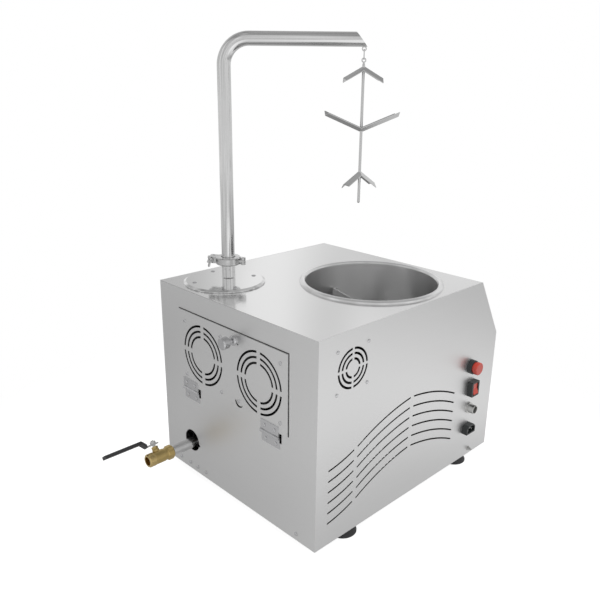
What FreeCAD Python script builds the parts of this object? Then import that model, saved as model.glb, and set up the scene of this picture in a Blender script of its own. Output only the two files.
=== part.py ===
"""Bench-top chocolate tempering machine with a lifting pump, a swivelling spout and a hanging rod of leaves.

Millimetres, +Z up. Inside the functions x = 0 and y = 0 are the middle of the sheet-metal housing and
z = 0 is the bench. The control side is -X, the fan door and the drain are at the back, +Y, and the
sloped front is -Y. On export everything moves so that the origin is the middle of the whole footprint.
"""
import FreeCAD
import Part
import math
import os

V = FreeCAD.Vector
X = V(1, 0, 0)
Y = V(0, 1, 0)
Z = V(0, 0, 1)

# --- housing ---
WIDTH = 418.0
DEPTH = 512.0
HEIGHT = 370.0
FOOT_HEIGHT = 18.0
SHEET = 1.5
SLOPE_RUN = 71.0
SLOPE_DROP = 118.0
LIP = 14.0
SIDE = WIDTH / 2
BACK = DEPTH / 2
BOTTOM = FOOT_HEIGHT
TOP = FOOT_HEIGHT + HEIGHT
FEET = [(sx * 182.0, y) for sx in (-1, 1) for y in (161.0, -178.0)]
BACK_SCREWS_X = (166.0, 135.0, 111.0, 85.0, -165.0)
BACK_SCREWS_Z = 30.0

# --- bowl and stirrer ---
BOWL = V(-64.0, -30.5, 0)
BOWL_RADIUS = 123.6
BOWL_WALL = 1.5
BOWL_DEPTH = 155.0
BOWL_FLOOR = TOP - BOWL_DEPTH
RIM_WIDTH = 11.0
RIM_HEIGHT = 5.5
SHAFT_RADIUS = 6.0
STIRRER_TOP = TOP - 45.0
DRAIN_IN_FLOOR = V(10.0, 20.0, 0)

# --- pump, cover, clamp and spout ---
SPOUT = V(129.0, 156.0, 0)
COVER = V(121.0, 172.0, 0)
COVER_RADIUS = 75.5
COVER_THICK = 4.5
COVER_SCREW_CIRCLE = 58.0
COVER_SCREW_ANGLES = (71.0, -15.0, -109.0, 161.0)
TUBE_RADIUS = 12.0
TUBE_WALL = 1.5
CLAMP_Z = TOP + 37.0
CLAMP_HALF = 6.75
CLAMP_RADIUS = 23.5
CLAMP_TURN = 31.0
FERRULE_RADIUS = 17.0
BARREL_RADIUS = 30.0
BARREL_BOTTOM = 236.0
ARM_Z = TOP + 425.0
ARM_BEND = 44.0
ARM_DIR = (BOWL - SPOUT).normalize()
ARM_TOP_END = 225.0
ARM_TIP = 244.0
HANG_REACH = 239.0

# --- hanging rod ---
EYE_RADIUS = 3.2
EYE_WIRE = 1.0
LINK_WIRE = 0.9
LINK_RADIUS = 2.2
LINK_LENGTH = 11.8
ROD_RADIUS = 2.5
ROD_BOTTOM = TOP + 149.0
LEAF_SHEET = 1.2
LEAF_FLANGE = 10.0

# --- drain and ball valve ---
DRAIN_X = 126.0
DRAIN_Z = 78.0
DRAIN_RADIUS = 10.0
VALVE_START = BACK + 47.0
VALVE_END = BACK + 100.0
VALVE_STEM_Y = BACK + 77.0
VALVE_TILT = 38.0
STEM_DIR = V(math.sin(math.radians(VALVE_TILT)), 0, math.cos(math.radians(VALVE_TILT)))
BALL_RADIUS = 8.2
STEM_RADIUS = 2.9
LEVER_HEIGHT = 23.5
LEVER_STEP = 10.6
LEVER_WIDTH = 12.0
LEVER_SHEET = 2.5
RUN_CLEARANCE = 0.05
CLEARANCE = 0.3

# --- fan door ---
DOOR_X = (-145.0, 149.0)
DOOR_Z = (204.0, 348.5)
DOOR_GAP = 0.3
DOOR_LIP = 1.2
DOOR_FACE = BACK + 3.0
HINGE_Y = BACK + 3.6
HINGE_Z = 194.0
HINGE_RADIUS = 3.2
HINGE_PIN_RADIUS = 1.5
HINGE_WIDTH = 44.0
HINGE_X = (-125.0, 96.0)
HINGE_SCREW_PITCH = 25.0
LATCH_X = -13.0
LATCH_Z = 333.0

# --- fans ---
DOOR_FAN_X = (77.0, -76.0)
DOOR_FAN_Z = 276.0
DOOR_FAN = 119.0
DOOR_FAN_PITCH = 105.0
SIDE_FAN_Y = 178.6
SIDE_FAN_Z = 323.0
SIDE_FAN = 80.0
SIDE_FAN_PITCH = 71.5
FAN_DEPTH = 25.0

# --- control column on the -X side ---
BUTTON = V(-SIDE, -171.0, 220.0)
ROCKER = V(-SIDE, -178.5, 172.5)
SOCKET = V(-SIDE, -178.0, 128.0)
INLET = V(-SIDE, -176.0, 84.5)
EARTH = V(-SIDE, -191.0, 30.0)

# --- middle of the footprint, valve lever included ---
ORIGIN = V(-10.0, 86.75, 0)


def box(x0, x1, y0, y1, z0, z1):
    return Part.makeBox(x1 - x0, y1 - y0, z1 - z0, V(x0, y0, z0))


def disc(base, axis, radius, length):
    return Part.makeCylinder(radius, length, base, axis)


def ring(base, axis, outer, inner, length):
    return disc(base, axis, outer, length).cut(disc(base, axis, inner, length))


def prism(points, along):
    face = Part.Face(Part.makePolygon(points + points[:1]))
    return face.extrude(along)


def spun(wire, base, axis):
    """Turn an outline drawn in the x-z plane about z and stand it on base along the axis."""
    solid = Part.Face(wire).revolve(V(0, 0, 0), Z, 360)
    if solid.Volume < 0:
        solid.reverse()
    solid.Placement = FreeCAD.Placement(base, FreeCAD.Rotation(Z, axis))
    return solid


def turned(profile, base=V(0, 0, 0), axis=Z):
    """Turn (radius, height) points about the axis that stands on base."""
    points = [V(r, 0, h) for r, h in profile]
    return spun(Part.makePolygon(points + points[:1]), base, axis)


def hexagon(base, axis, flats, length):
    radius = flats / math.sqrt(3)
    points = [V(radius * math.cos(math.radians(60 * i)), radius * math.sin(math.radians(60 * i)), 0)
              for i in range(6)]
    solid = prism(points, V(0, 0, length))
    solid.Placement = FreeCAD.Placement(base, FreeCAD.Rotation(Z, axis))
    return solid


def bent_wire(points, radius):
    """Straight runs through the points, joined by tangent arcs."""
    edges = []
    start = points[0]
    for before, corner, after in zip(points, points[1:], points[2:]):
        back = (before - corner).normalize()
        forth = (after - corner).normalize()
        half = back.getAngle(forth) / 2
        inward = (back + forth).normalize()
        first = corner + back * (radius / math.tan(half))
        last = corner + forth * (radius / math.tan(half))
        middle = corner + inward * (radius / math.sin(half) - radius)
        edges.append(Part.makeLine(start, first))
        edges.append(Part.Arc(first, middle, last).toShape())
        start = last
    edges.append(Part.makeLine(start, points[-1]))
    return Part.Wire(edges)


def bar(points, bend, radius):
    """Round bar swept along straight runs and arcs."""
    section = Part.Wire(Part.makeCircle(radius, points[0], points[1] - points[0]))
    return bent_wire(points, bend).makePipeShell([section], True, False)


def pipe(points, bend, outer, inner):
    return bar(points, bend, outer).cut(bar(points, bend, inner))


def fuse(shapes):
    whole = shapes[0]
    for shape in shapes[1:]:
        whole = whole.fuse(shape)
    return whole.removeSplitter()


def screw(base, axis, head=3.6, height=1.8, shank=1.5, length=5.0):
    """Pan-head screw: base is on the surface under the head and axis points out of it."""
    profile = [(0, -length), (shank, -length), (shank, 0), (head, 0), (head, 0.45 * height),
               (0.62 * head, height), (0, height)]
    return turned(profile, base, axis)


def screw_hole(base, axis, shank=1.5):
    return disc(base - axis * 12, axis, shank + 0.1, 24)


# ---------------------------------------------------------------- housing

def side_outline(inset=0.0):
    """Outline of the housing seen from the side: square back, sloped top of the front."""
    points = [V(0, -BACK, BOTTOM), V(0, BACK, BOTTOM), V(0, BACK, TOP), V(0, SLOPE_RUN - BACK, TOP),
              V(0, -BACK, TOP - SLOPE_DROP)]
    wire = Part.makePolygon(points + points[:1])
    if inset:
        wire = wire.makeOffset2D(-inset, 2)
    return Part.Face(wire)


def slab(inset, x0, x1):
    solid = side_outline(inset).extrude(X * (x1 - x0))
    solid.translate(X * x0)
    return solid


def wrap():
    """Sheet that runs round between the two side panels."""
    inner = SIDE - SHEET
    return slab(0, -inner, inner).cut(slab(SHEET, -inner, inner))


def side_panel(sign):
    """Flat side with a lip folded in all round, behind the wrapped sheets."""
    outer = sign * SIDE
    skin = sign * (SIDE - SHEET)
    lip_end = sign * (SIDE - SHEET - LIP)
    plate = slab(0, min(outer, skin), max(outer, skin))
    lip = slab(SHEET, min(skin, lip_end), max(skin, lip_end))
    hollow = slab(2 * SHEET, min(skin, lip_end), max(skin, lip_end))
    return plate.fuse(lip.cut(hollow)).removeSplitter()


def ring_slots(centre, axis, up, radii, width, bridge):
    """Concentric ring slots, each cut into four by a cross of bridges."""
    depth = 12.0
    base = centre - axis * (depth / 2)
    across = axis.cross(up)
    rings = [ring(base, axis, r + width / 2, r - width / 2, depth) for r in radii]
    cutter = Part.makeCompound(rings)
    reach = max(radii) + width
    for along, side in ((up, across), (across, up)):
        corner = base - along * reach - side * (bridge / 2)
        points = [corner, corner + along * 2 * reach, corner + along * 2 * reach + side * bridge,
                  corner + side * bridge]
        cutter = cutter.cut(prism(points, axis * depth))
    return cutter


def corner_points(centre, axis, up, pitch):
    """Four corners of a square of screws round a centre."""
    across = axis.cross(up)
    half = pitch / 2
    return [centre + across * (sa * half) + up * (su * half) for sa in (-1, 1) for su in (-1, 1)]


VENT_SPANS = ((29.0, 87.0), (98.0, 234.0), (246.0, 376.0))
VENT_ROWS = 6
VENT_PITCH = 19.8
VENT_WIDTH = 3.2
VENT_CREST = 240.0
VENT_WAVE = 460.0
VENT_SWING = 30.0
VENT_LEVEL = 169.5 + FOOT_HEIGHT


def vent_height(run):
    return VENT_LEVEL + VENT_SWING * math.cos(2 * math.pi * (run - VENT_CREST) / VENT_WAVE)


def vent_slot(start, end, drop):
    """One round-ended piece of a wave, between two distances from the back face."""
    half = VENT_WIDTH / 2
    x = -SIDE - 2
    runs = (start, (start + end) / 2, end)
    middle = [V(x, BACK - run, vent_height(run) - drop) for run in runs]
    lower = [point - Z * half for point in middle]
    upper = [point + Z * half for point in middle]
    edges = [Part.Arc(*lower).toShape(),
             Part.Arc(lower[2], middle[2] - Y * half, upper[2]).toShape(),
             Part.Arc(*reversed(upper)).toShape(),
             Part.Arc(upper[0], middle[0] + Y * half, lower[0]).toShape()]
    return Part.Face(Part.Wire(edges)).extrude(X * 6)


def side_panel_left():
    """Control side: small fan grille, waves of vents and the column of controls."""
    panel = side_panel(-1)
    fan = V(-SIDE, SIDE_FAN_Y, SIDE_FAN_Z)
    cuts = [ring_slots(fan, X, Z, (33.0, 24.5, 15.5), 4.0, 4.5)]
    cuts += [vent_slot(start, end, row * VENT_PITCH) for row in range(VENT_ROWS) for start, end in VENT_SPANS]
    cuts += [screw_hole(point, X) for point in corner_points(fan, X, Z, SIDE_FAN_PITCH)]
    cuts.append(disc(BUTTON - X * 4, X, 11.0, 10))
    cuts.append(box(-SIDE - 4, -SIDE + 6, ROCKER.y - 10.5, ROCKER.y + 10.5, ROCKER.z - 13.5, ROCKER.z + 13.5))
    cuts.append(disc(SOCKET - X * 4, X, 8.0, 10))
    cuts.append(box(-SIDE - 4, -SIDE + 6, INLET.y - 12.5, INLET.y + 12.5, INLET.z - 7.2, INLET.z + 7.2))
    cuts.append(disc(EARTH - X * 4, X, 2.1, 10))
    return panel.cut(cuts)


def top_panel():
    panel = wrap().common(box(-SIDE, SIDE, SLOPE_RUN - BACK, BACK, TOP - 2 * SHEET, TOP))
    panel = panel.cut(box(-SIDE, SIDE, BACK - SHEET, BACK, TOP - 9, TOP - SHEET))
    cuts = [disc(V(BOWL.x, BOWL.y, TOP - 6), Z, BOWL_RADIUS + BOWL_WALL + 1.2, 12),
            disc(V(SPOUT.x, SPOUT.y, TOP - 6), Z, BARREL_RADIUS + 1.5, 12)]
    cuts += [screw_hole(point, Z) for point in cover_screw_points()]
    return panel.cut(cuts)


def base_plate():
    panel = wrap().common(box(-SIDE, SIDE, -BACK, BACK, BOTTOM, BOTTOM + SHEET))
    cuts = [disc(V(x, y, 0), Z, 2.2, 40) for x, y in FEET]
    cuts += [box(x - 60, x + 60, -70 + 14 * i, -66 + 14 * i, 0, 40) for x in (-70, 90) for i in range(5)]
    return panel.cut(cuts)


def front_panel():
    """Sloped and upright front, folded from one sheet, with the controller's window."""
    panel = wrap().common(box(-SIDE, SIDE, -BACK, SLOPE_RUN - BACK, BOTTOM + SHEET, TOP))
    return panel.cut(controller_block(36.0, 16.0, -8, 8))


def notch(x0):
    """Cut below the door opening that lets one hinge's tab swing."""
    return box(x0 - 4.0, x0 + HINGE_WIDTH + 1.0, BACK - 9, BACK + 9, HINGE_Z - 10, DOOR_Z[0] + 6)


def rear_panel():
    panel = wrap().common(box(-SIDE, SIDE, BACK - SHEET, BACK, BOTTOM + SHEET, TOP - SHEET))
    opening = box(DOOR_X[0] + 5, DOOR_X[1] - 6, BACK - 9, BACK + 9, DOOR_Z[0] + 5, DOOR_Z[1] - 4.5)
    cuts = [opening, disc(V(DRAIN_X, BACK - 9, 83.0), Y, 21.75, 18), disc(V(103.6, BACK - 9, 79.0), Y, 2.6, 18)]
    cuts += [notch(x0) for x0 in HINGE_X]
    cuts += [screw_hole(V(x, BACK, BACK_SCREWS_Z), Y) for x in BACK_SCREWS_X]
    cuts += [screw_hole(point, Y) for point in hinge_screw_points(HINGE_Z - 14)]
    return panel.cut(cuts)


def rubber_feet():
    """Bell-shaped feet with a cupped underside."""
    profile = [(3.2, BOTTOM), (3.2, 9.0), (9.0, 9.0), (9.0, 4.0), (19.0, 1.6), (22.0, 0), (26.0, 0),
               (26.0, 2.2), (24.0, 5.0), (19.0, 11.0), (16.5, BOTTOM)]
    return Part.makeCompound([turned(profile, V(x, y, 0)) for x, y in FEET])


# ---------------------------------------------------------------- bowl, heater and stirrer

def bowl():
    """Spun bowl: rolled rim on the top sheet, straight wall, rounded corner, flat floor."""
    r = BOWL_RADIUS
    w = BOWL_WALL
    corner = 18.0
    floor = BOWL_FLOOR
    turn = [math.radians(a) for a in (0, 22.5, 45, 67.5, 90)]
    inner = [(r - corner + corner * math.sin(a), floor + corner - corner * math.cos(a)) for a in turn]
    outer = [(r - corner + (corner + w) * math.sin(a), floor + corner - (corner + w) * math.cos(a)) for a in turn]
    rim = [(r, TOP + 1.5), (r + 1.6, TOP + 4.2), (r + 4.5, TOP + RIM_HEIGHT), (r + 7.5, TOP + 5.0),
           (r + 10.2, TOP + 3.0), (r + RIM_WIDTH, TOP + 0.8), (r + RIM_WIDTH, TOP), (r + w, TOP)]
    profile = [(9.0, floor)] + inner + rim + outer[::-1] + [(9.0, floor - w)]
    shell = turned(profile, BOWL)
    cuts = [disc(V(DRAIN_IN_FLOOR.x, DRAIN_IN_FLOOR.y, floor - 9), Z, DRAIN_RADIUS + 0.05, 18),
            disc(suction_start() - suction_dir() * 30, suction_dir(), 11.05, 40)]
    return shell.cut(cuts)


def suction_dir():
    return (SPOUT - BOWL).normalize()


def suction_start():
    """Point on the bowl wall where the suction pipe leaves."""
    return BOWL + suction_dir() * (BOWL_RADIUS + 0.3) + Z * (BOWL_FLOOR + 32)


def bowl_heater():
    """Silicone heating band round the wall, cut away at the suction pipe."""
    z0 = BOWL_FLOOR + 50
    outer = BOWL_RADIUS + BOWL_WALL + 3.0
    band = ring(V(BOWL.x, BOWL.y, z0), Z, outer, BOWL_RADIUS + BOWL_WALL, 70)
    return band.cut(box(BOWL.x - 10, BOWL.x + 10, BOWL.y - 140, BOWL.y, z0, z0 + 70))


STIRRER_TURN = -17.6
STIRRER_OFFSET = 11.5
STIRRER_REACH = 121.0


def stirrer_blade(turn, reach, height, hook):
    """Upright blade fixed to one side of the hub, with a short wiper turned back at its end."""
    plate = box(4, reach, STIRRER_OFFSET, STIRRER_OFFSET + 2.5, BOWL_FLOOR + 3, BOWL_FLOOR + 3 + height)
    relief = prism([V(30, 0, BOWL_FLOOR + 22), V(92, 0, BOWL_FLOOR + 22), V(92, 0, BOWL_FLOOR + height - 32),
                    V(30, 0, BOWL_FLOOR + height - 52)], Y * 20)
    foot = disc(V(0, 0, BOWL_FLOOR + 3), Z, BOWL_RADIUS - 1.6, height)
    trimmed = box(4, reach, STIRRER_OFFSET, STIRRER_OFFSET + 2.5, BOWL_FLOOR + 3, BOWL_FLOOR + 20)
    bevel = prism([V(reach - 16, 0, BOWL_FLOOR), V(reach + 3, 0, BOWL_FLOOR), V(reach + 3, 0, BOWL_FLOOR + 21)],
                  Y * 20)
    blade = plate.fuse(trimmed).common(foot).cut(relief).cut(bevel)
    if hook:
        lip = box(reach - 3, reach - 0.5, STIRRER_OFFSET - 7, STIRRER_OFFSET, BOWL_FLOOR + 24, BOWL_FLOOR + 3 + height)
        blade = blade.fuse(lip.common(foot))
    blade.rotate(V(0, 0, 0), Z, turn)
    return blade


def stirrer():
    """Hub cap with one tall and one low blade."""
    cap = turned([(SHAFT_RADIUS, BOWL_FLOOR + 3), (14.5, BOWL_FLOOR + 3), (14.5, BOWL_FLOOR + 88),
                  (11.0, BOWL_FLOOR + 96), (0, BOWL_FLOOR + 96), (0, BOWL_FLOOR + 84), (SHAFT_RADIUS, BOWL_FLOOR + 84)])
    tall = stirrer_blade(STIRRER_TURN, STIRRER_REACH, STIRRER_TOP - BOWL_FLOOR - 3, True)
    low = stirrer_blade(STIRRER_TURN + 180, STIRRER_REACH - 3, 46, False)
    whole = fuse([cap, tall, low]).cut(disc(V(0, 0, BOWL_FLOOR), Z, SHAFT_RADIUS, 84))
    whole.translate(BOWL)
    return whole


def stirrer_shaft():
    return disc(V(BOWL.x, BOWL.y, 176), Z, SHAFT_RADIUS, BOWL_FLOOR + 84 - 176)


def stirrer_bearing():
    """Flanged bearing and lip seal under the hole in the bowl's floor."""
    z = BOWL_FLOOR - BOWL_WALL
    bore = SHAFT_RADIUS + RUN_CLEARANCE
    return turned([(bore, z - 14), (15.0, z - 14), (15.0, z - 4), (22.0, z - 4), (22.0, z), (8.9, z),
                   (8.9, z + 3.5), (bore, z + 3.5)], BOWL)


def gear_motor(centre, top, body, length, shaft_hole):
    """Gearbox with rounded corners and a ribbed round motor under it."""
    half = body / 2
    gearbox = box(centre.x - half, centre.x + half, centre.y - half, centre.y + half, top - 34, top)
    edges = [edge for edge in gearbox.Edges if abs(edge.tangentAt(edge.FirstParameter).z) > 0.9]
    gearbox = gearbox.makeFillet(6, edges)
    motor = turned([(0, 0), (half - 6, 0), (half - 3, 4), (half - 3, length - 2), (0, length - 2)],
                   V(centre.x, centre.y, top - 34 - length + 2))
    grooves = [ring(V(centre.x, centre.y, top - 34 - length + 12 + 9 * i), Z, half, half - 4.5, 4)
               for i in range(int((length - 20) / 9))]
    hole = disc(V(centre.x, centre.y, top - 32), Z, shaft_hole, 34)
    return gearbox.fuse(motor).cut(grooves).cut(hole).removeSplitter()


def stand(centre, top, span, width, turn):
    """Folded bracket that carries a gear motor above the base plate."""
    half = span / 2
    foot = BOTTOM + SHEET
    deck = box(-width / 2, width / 2, -half, half, top, top + 3)
    pieces = [deck]
    for s in (-1, 1):
        inner, outer = sorted((s * half, s * (half - 3)))
        pieces.append(box(-width / 2, width / 2, inner, outer, foot, top))
        inner, outer = sorted((s * half, s * (half - 16)))
        pieces.append(box(-width / 2, width / 2, inner, outer, foot, foot + 3))
    whole = fuse(pieces).cut(disc(V(0, 0, top - 2), Z, 12.0, 8))
    whole.rotate(V(0, 0, 0), Z, turn)
    whole.translate(centre)
    return whole


STIRRER_DECK = 196.0
PUMP_DECK = 208.0


def stirrer_motor():
    return gear_motor(BOWL, STIRRER_DECK, 70.0, 92.0, SHAFT_RADIUS + RUN_CLEARANCE)


def pump_motor():
    return gear_motor(SPOUT, PUMP_DECK, 64.0, 76.0, SHAFT_RADIUS + RUN_CLEARANCE)


def motor_stands():
    return Part.makeCompound([stand(BOWL, STIRRER_DECK, 110.0, 76.0, 0), stand(SPOUT, PUMP_DECK, 92.0, 70.0, 90)])


# ---------------------------------------------------------------- pump, cover and suction

def cover_screw_points():
    return [COVER + V(COVER_SCREW_CIRCLE * math.cos(math.radians(a)), COVER_SCREW_CIRCLE * math.sin(math.radians(a)),
                      TOP) for a in COVER_SCREW_ANGLES]


def pump_cover():
    """Round cover plate with the spout's lower stub and ferrule welded on off its centre."""
    plate = turned([(0, TOP), (COVER_RADIUS - 1, TOP), (COVER_RADIUS, TOP + 1), (COVER_RADIUS, TOP + 2.2),
                    (COVER_RADIUS - 4.5, TOP + COVER_THICK), (0, TOP + COVER_THICK)], COVER)
    bore = TUBE_RADIUS - TUBE_WALL
    stub = turned([(0, TOP), (TUBE_RADIUS + 1.6, TOP + COVER_THICK), (TUBE_RADIUS + 0.5, TOP + COVER_THICK + 1.4),
                   (TUBE_RADIUS + 0.5, CLAMP_Z - 4.4), (FERRULE_RADIUS, CLAMP_Z - 2.6), (FERRULE_RADIUS, CLAMP_Z - 0.6),
                   (0, CLAMP_Z - 0.6)], SPOUT)
    whole = plate.fuse(stub).cut(disc(V(SPOUT.x, SPOUT.y, TOP - 5), Z, bore, 60))
    holes = [screw_hole(point + Z * COVER_THICK, Z) for point in cover_screw_points()]
    return whole.cut(holes).removeSplitter()


def pump_barrel():
    """Upright pump barrel with a closed foot, a port for the suction pipe and the shaft's seal."""
    z0 = BARREL_BOTTOM
    wall = 3.0
    shell = turned([(SHAFT_RADIUS + RUN_CLEARANCE, z0), (BARREL_RADIUS + 6, z0), (BARREL_RADIUS + 6, z0 + 5),
                    (BARREL_RADIUS, z0 + 5), (BARREL_RADIUS, TOP), (BARREL_RADIUS - wall, TOP),
                    (BARREL_RADIUS - wall, z0 + 8), (SHAFT_RADIUS + RUN_CLEARANCE, z0 + 8)], SPOUT)
    port = disc(suction_start() + suction_dir() * 60, suction_dir(), 11.05, suction_length() - 40)
    return shell.cut(port)


def suction_length():
    """From the bowl wall to a little inside the barrel wall."""
    start = suction_start()
    return math.hypot(SPOUT.x - start.x, SPOUT.y - start.y) - BARREL_RADIUS + 1.5


def suction_pipe():
    return ring(suction_start(), suction_dir(), 11.0, 9.5, suction_length())


SCREW_RADIUS = 26.0
SCREW_PITCH = 24.0
SCREW_TURNS = 5


def pump_screw():
    """Lifting screw: a helical flight round the pump shaft."""
    z0 = BARREL_BOTTOM + 11
    height = SCREW_PITCH * SCREW_TURNS
    shaft = disc(V(0, 0, PUMP_DECK - 24), Z, SHAFT_RADIUS, z0 + height + 3 - PUMP_DECK + 24)
    helix = Part.makeHelix(SCREW_PITCH, height, 16.0)
    helix.translate(Z * z0)
    section = Part.makePolygon([V(5.0, 0, z0 - 1.2), V(SCREW_RADIUS, 0, z0 - 0.8), V(SCREW_RADIUS, 0, z0 + 0.8),
                                V(5.0, 0, z0 + 1.2), V(5.0, 0, z0 - 1.2)])
    flight = Part.Wire(helix.Edges).makePipeShell([section], True, True)
    whole = shaft.fuse(flight)
    whole.translate(SPOUT)
    return whole


# ---------------------------------------------------------------- clamp

def clamp_place(shape):
    """Put a piece made about the clamp's own centre, with x along its split, onto the spout."""
    shape.Placement = FreeCAD.Placement(V(SPOUT.x, SPOUT.y, CLAMP_Z), FreeCAD.Rotation(Z, CLAMP_TURN))
    return shape


BOLT_X = 31.0
BOLT_PIVOT_Y = -5.0
CLAMP_HINGE_X = -29.5


def clamp_ring():
    """Full clamp ring with the groove that pulls the two ferrules together."""
    body = turned([(13.2, -CLAMP_HALF), (CLAMP_RADIUS - 1.5, -CLAMP_HALF), (CLAMP_RADIUS, -CLAMP_HALF + 1.5),
                   (CLAMP_RADIUS, CLAMP_HALF - 1.5), (CLAMP_RADIUS - 1.5, CLAMP_HALF), (13.2, CLAMP_HALF)])
    groove = turned([(13.0, -5.6), (FERRULE_RADIUS + 0.4, -3.0), (FERRULE_RADIUS + 0.4, 4.0), (13.0, 6.0)])
    return body.cut(groove)


def lug(x0, x1, y0, y1):
    block = box(x0, x1, y0, y1, -CLAMP_HALF + 0.5, CLAMP_HALF - 0.5)
    edges = [edge for edge in block.Edges if abs(edge.CenterOfMass.x - x1) < 0.1 and abs(edge.CenterOfMass.z) < 0.1]
    return block.makeFillet(2.5, edges)


def clamp_half_slotted():
    """Half of the clamp on the fan door's side; its lug has the open slot for the swing bolt."""
    half = clamp_ring().common(box(-40, 40, 0.4, 40, -9, 9))
    ear = lug(21, 37, 0.4, 9).cut(disc(V(0, 0, -9), Z, 20, 18))
    knuckle = disc(V(CLAMP_HINGE_X, 0, -2.2), Z, 4.4, 4.4).fuse(box(CLAMP_HINGE_X, -20, 0.4, 4.4, -2.2, 2.2))
    knuckle = knuckle.cut(disc(V(0, 0, -9), Z, 18, 18))
    slot = box(28.2, 40, -1, 12, -2.7, 2.7)
    hole = disc(V(CLAMP_HINGE_X, 0, -9), Z, 1.8, 18)
    return clamp_place(half.fuse(ear).fuse(knuckle).cut(slot).cut(hole).removeSplitter())


def clamp_half_plain():
    """Half of the clamp that carries the swing bolt's pin and the outer hinge knuckles."""
    half = clamp_ring().common(box(-40, 40, -40, -0.4, -9, 9))
    ear = lug(21, 37, -9.5, -0.4).cut(disc(V(0, 0, -9), Z, 20, 18))
    pieces = [half, ear]
    for z0 in (-CLAMP_HALF, 2.5):
        depth = CLAMP_HALF - 2.5
        pieces.append(disc(V(CLAMP_HINGE_X, 0, z0), Z, 4.4, depth))
        pieces.append(box(CLAMP_HINGE_X, -19, -4.4, -0.4, z0, z0 + depth))
    whole = pieces[0]
    for piece in pieces[1:]:
        whole = whole.fuse(piece)
    whole = whole.cut(turned([(0, -6), (FERRULE_RADIUS + 0.4, -3.0), (FERRULE_RADIUS + 0.4, 4.0), (0, 6)]))
    slot = box(25.8, 40, -12, 1, -2.7, 2.7)
    holes = [disc(V(CLAMP_HINGE_X, 0, -9), Z, 1.8, 18), disc(V(BOLT_X, BOLT_PIVOT_Y, -9), Z, 1.6, 18)]
    return clamp_place(whole.cut(slot).cut(holes).removeSplitter())


def clamp_pins():
    """Hinge pin and the swing bolt's pin, both upright."""
    hinge = disc(V(CLAMP_HINGE_X, 0, -CLAMP_HALF - 0.8), Z, 1.8, 2 * CLAMP_HALF + 1.6)
    pivot = disc(V(BOLT_X, BOLT_PIVOT_Y, -CLAMP_HALF - 0.4), Z, 1.6, 2 * CLAMP_HALF + 0.8)
    return clamp_place(Part.makeCompound([hinge, pivot]))


def swing_bolt():
    eye = disc(V(BOLT_X, BOLT_PIVOT_Y, -2.3), Z, 4.3, 4.6)
    shank = disc(V(BOLT_X, BOLT_PIVOT_Y, 0), Y, 2.2, 29)
    hole = disc(V(BOLT_X, BOLT_PIVOT_Y, -9), Z, 1.6 + RUN_CLEARANCE, 18)
    return clamp_place(eye.fuse(shank).cut(hole).removeSplitter())


def wing_nut():
    """Nut with two upright wings that lean away from the clamp."""
    hub = turned([(0, 0), (4.6, 0), (3.8, 8), (0, 8)], V(BOLT_X, 10.0, 0), Y)
    wings = []
    for s in (-1, 1):
        points = [V(BOLT_X - 1.1, 12.0, s * 1.5), V(BOLT_X - 1.1, 18.0, s * 1.5), V(BOLT_X - 1.1, 22.5, s * 7.5),
                  V(BOLT_X - 1.1, 21.5, s * 10.5), V(BOLT_X - 1.1, 17.5, s * 10.5), V(BOLT_X - 1.1, 12.5, s * 4.0)]
        wings.append(prism(points, X * 2.2))
    whole = hub.fuse(wings[0]).fuse(wings[1])
    return clamp_place(whole.cut(disc(V(BOLT_X, 8, 0), Y, 2.2 + RUN_CLEARANCE, 20)).removeSplitter())


def clamp_gasket():
    return ring(V(SPOUT.x, SPOUT.y, CLAMP_Z - 0.6), Z, FERRULE_RADIUS - 0.6, TUBE_RADIUS - TUBE_WALL, 1.2)


# ---------------------------------------------------------------- spout and hanging rod

def along_arm(reach, height):
    return SPOUT + ARM_DIR * reach + Z * height


def hang_point():
    """Lowest wire of the eye under the spout's tip."""
    return along_arm(HANG_REACH, ARM_Z - TUBE_RADIUS - 2 * EYE_RADIUS + 0.4)


def spout_tube():
    """Upright tube bent into the arm, with its ferrule, slanting mouth and hanging eye."""
    foot = CLAMP_Z + 0.9
    points = [SPOUT + Z * foot, SPOUT + Z * ARM_Z, along_arm(ARM_TIP + 20, ARM_Z)]
    outer = bar(points, ARM_BEND, TUBE_RADIUS)
    inner = bar(points, ARM_BEND, TUBE_RADIUS - TUBE_WALL)
    slant = (ARM_TIP - ARM_TOP_END) / (2 * TUBE_RADIUS)
    across = ARM_DIR.cross(Z)
    top = along_arm(ARM_TOP_END - slant * 10, ARM_Z + TUBE_RADIUS + 10)
    low = along_arm(ARM_TIP + slant * 10, ARM_Z - TUBE_RADIUS - 10)
    far = ARM_DIR * 70
    waste = prism([top - across * 30, low - across * 30, low + far - across * 30, top + far - across * 30], across * 60)
    flange = turned([(TUBE_RADIUS - 1, CLAMP_Z + 0.9), (FERRULE_RADIUS, CLAMP_Z + 0.9), (FERRULE_RADIUS, CLAMP_Z + 2.9),
                     (TUBE_RADIUS + 0.2, CLAMP_Z + 4.6), (TUBE_RADIUS - 1, CLAMP_Z + 4.6)], SPOUT)
    eye_centre = hang_point() + Z * EYE_RADIUS
    eye = Part.makeTorus(EYE_RADIUS, EYE_WIRE, eye_centre, across)
    tube = outer.cut(waste).fuse(eye).fuse(flange).cut(inner)
    return tube.removeSplitter()


def link_ends():
    upper = hang_point()
    return upper, upper - Z * LINK_LENGTH


def hanger_link():
    """Long chain link that joins the two eyes."""
    upper, lower = link_ends()
    across = ARM_DIR.cross(Z)
    side = across * LINK_RADIUS
    path = [Part.Arc(upper + side, upper + Z * LINK_RADIUS, upper - side).toShape(),
            Part.makeLine(upper - side, lower - side),
            Part.Arc(lower - side, lower - Z * LINK_RADIUS, lower + side).toShape(),
            Part.makeLine(lower + side, upper + side)]
    section = Part.Wire(Part.makeCircle(LINK_WIRE, upper - side, Z))
    wire = Part.Wire([path[1], path[2], path[3], path[0]])
    return wire.makePipeShell([section], True, False)


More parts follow.
